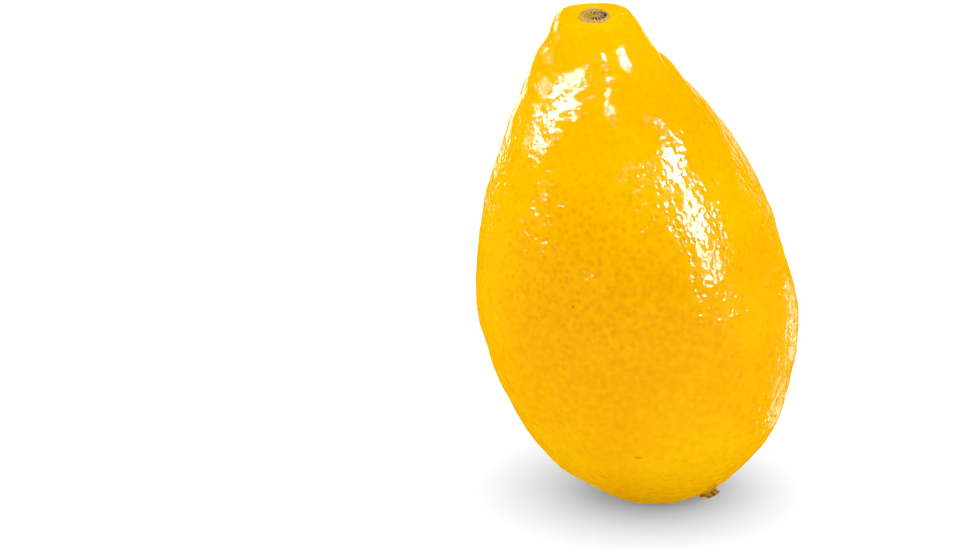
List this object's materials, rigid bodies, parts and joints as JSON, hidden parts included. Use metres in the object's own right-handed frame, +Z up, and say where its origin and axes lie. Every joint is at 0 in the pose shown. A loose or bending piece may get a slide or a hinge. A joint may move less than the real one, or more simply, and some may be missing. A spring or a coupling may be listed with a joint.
{
  "type": "lemon",
  "caption": "Whole ripe lemon with a tapered neck, dry stem button and dry style stub, standing on a small flat spot.",
  "frame": {"origin": "on the flat spot that the lemon stands on, under the middle of its bounding box", "axes": "+Z up, along the lemon's length; +X to its right, the side the style stub is on; -Y to its front, the side its stem button faces"},
  "size_m": [0.0642, 0.0624, 0.1001],
  "materials": {
    "rind": "gloss",
    "dry_calyx": "matte",
    "dry_style": "matte"
  },
  "bodies": {
    "root": {"fruit": "rind", "stem_button": "dry_calyx", "style_stub": "dry_style"}
  },
  "joints": []
}
